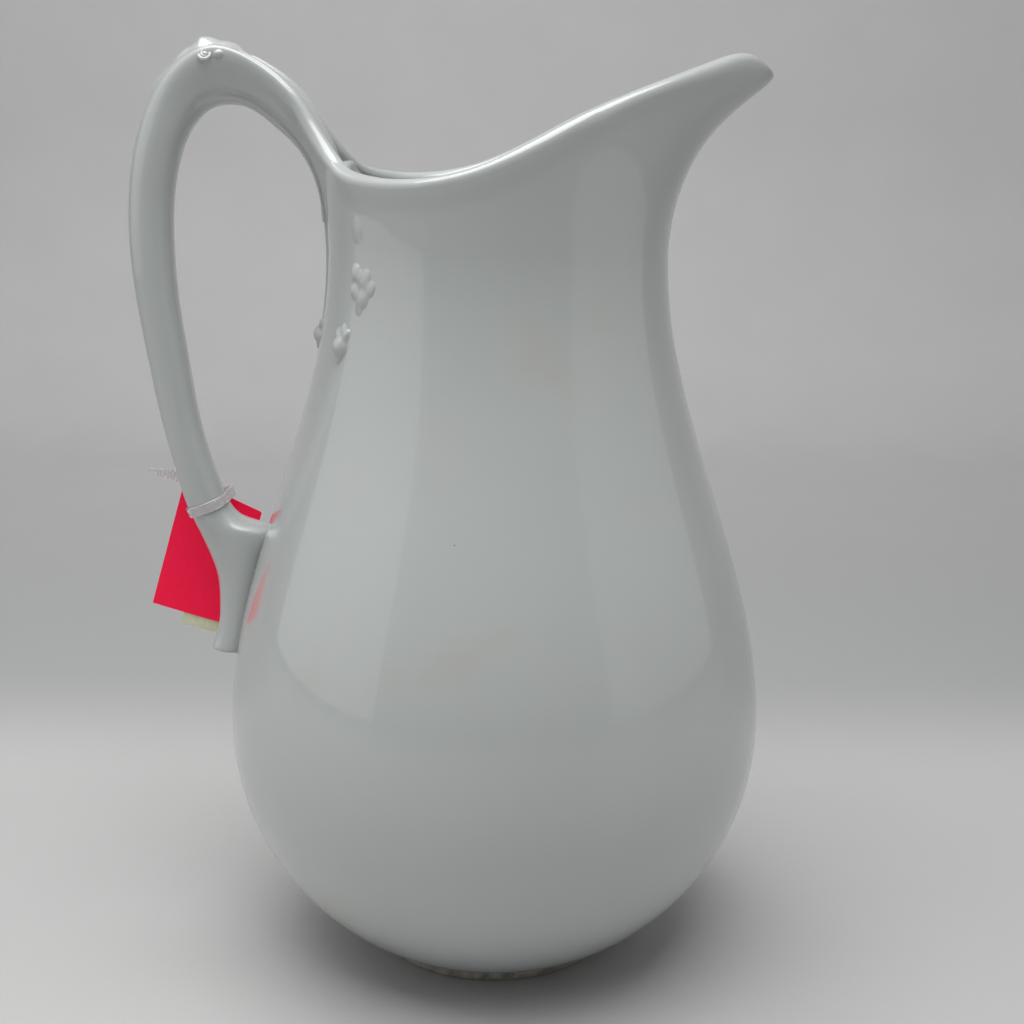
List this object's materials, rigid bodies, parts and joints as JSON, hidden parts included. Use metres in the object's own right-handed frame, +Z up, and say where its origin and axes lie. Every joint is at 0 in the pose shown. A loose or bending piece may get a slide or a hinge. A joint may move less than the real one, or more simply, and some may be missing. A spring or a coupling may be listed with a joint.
{
  "type": "water jug",
  "caption": "Tall glazed pottery water jug with a round belly, long forward spout, high looped strap handle and a red price card tied to it.",
  "frame": {"origin": "centre of the foot ring on the surface it stands on", "axes": "+Z up along the vessel's axis, +X towards the spout's tip, the handle on -X"},
  "size_m": [0.2192, 0.1878, 0.3185],
  "materials": {
    "white_glaze": "thick clear glossy glaze over a cool white body",
    "bare_foot": "unglazed fired clay, worn and slightly soiled where it stands",
    "clear_tie": "translucent natural nylon with fine cross teeth",
    "red_card": "bright fluorescent-dyed smooth card with scissor-cut edges",
    "pale_slip": "thin pale yellow-green paper"
  },
  "bodies": {
    "jug": {"jug_body": "white_glaze", "handle": "white_glaze", "crest_leaf": "white_glaze", "crest_scroll_left": "white_glaze", "crest_scroll_right": "white_glaze", "neck_rib": "white_glaze", "bud_center": "white_glaze", "bud_left": "white_glaze", "bud_right": "white_glaze", "leaf_sprig_left": "white_glaze", "leaf_sprig_right": "white_glaze", "foot_ring": "bare_foot", "tag_tie": "clear_tie"},
    "tag": {"tag_card": "red_card", "tag_slip": "pale_slip"}
  },
  "joints": [
    {"name": "tag_swing", "type": "hinge", "parent": "jug", "child": "tag", "pos_m": [-0.10505, 0.0107, 0.1585], "axis": [0, 1, 0], "range_deg": [-4, 70]}
  ]
}
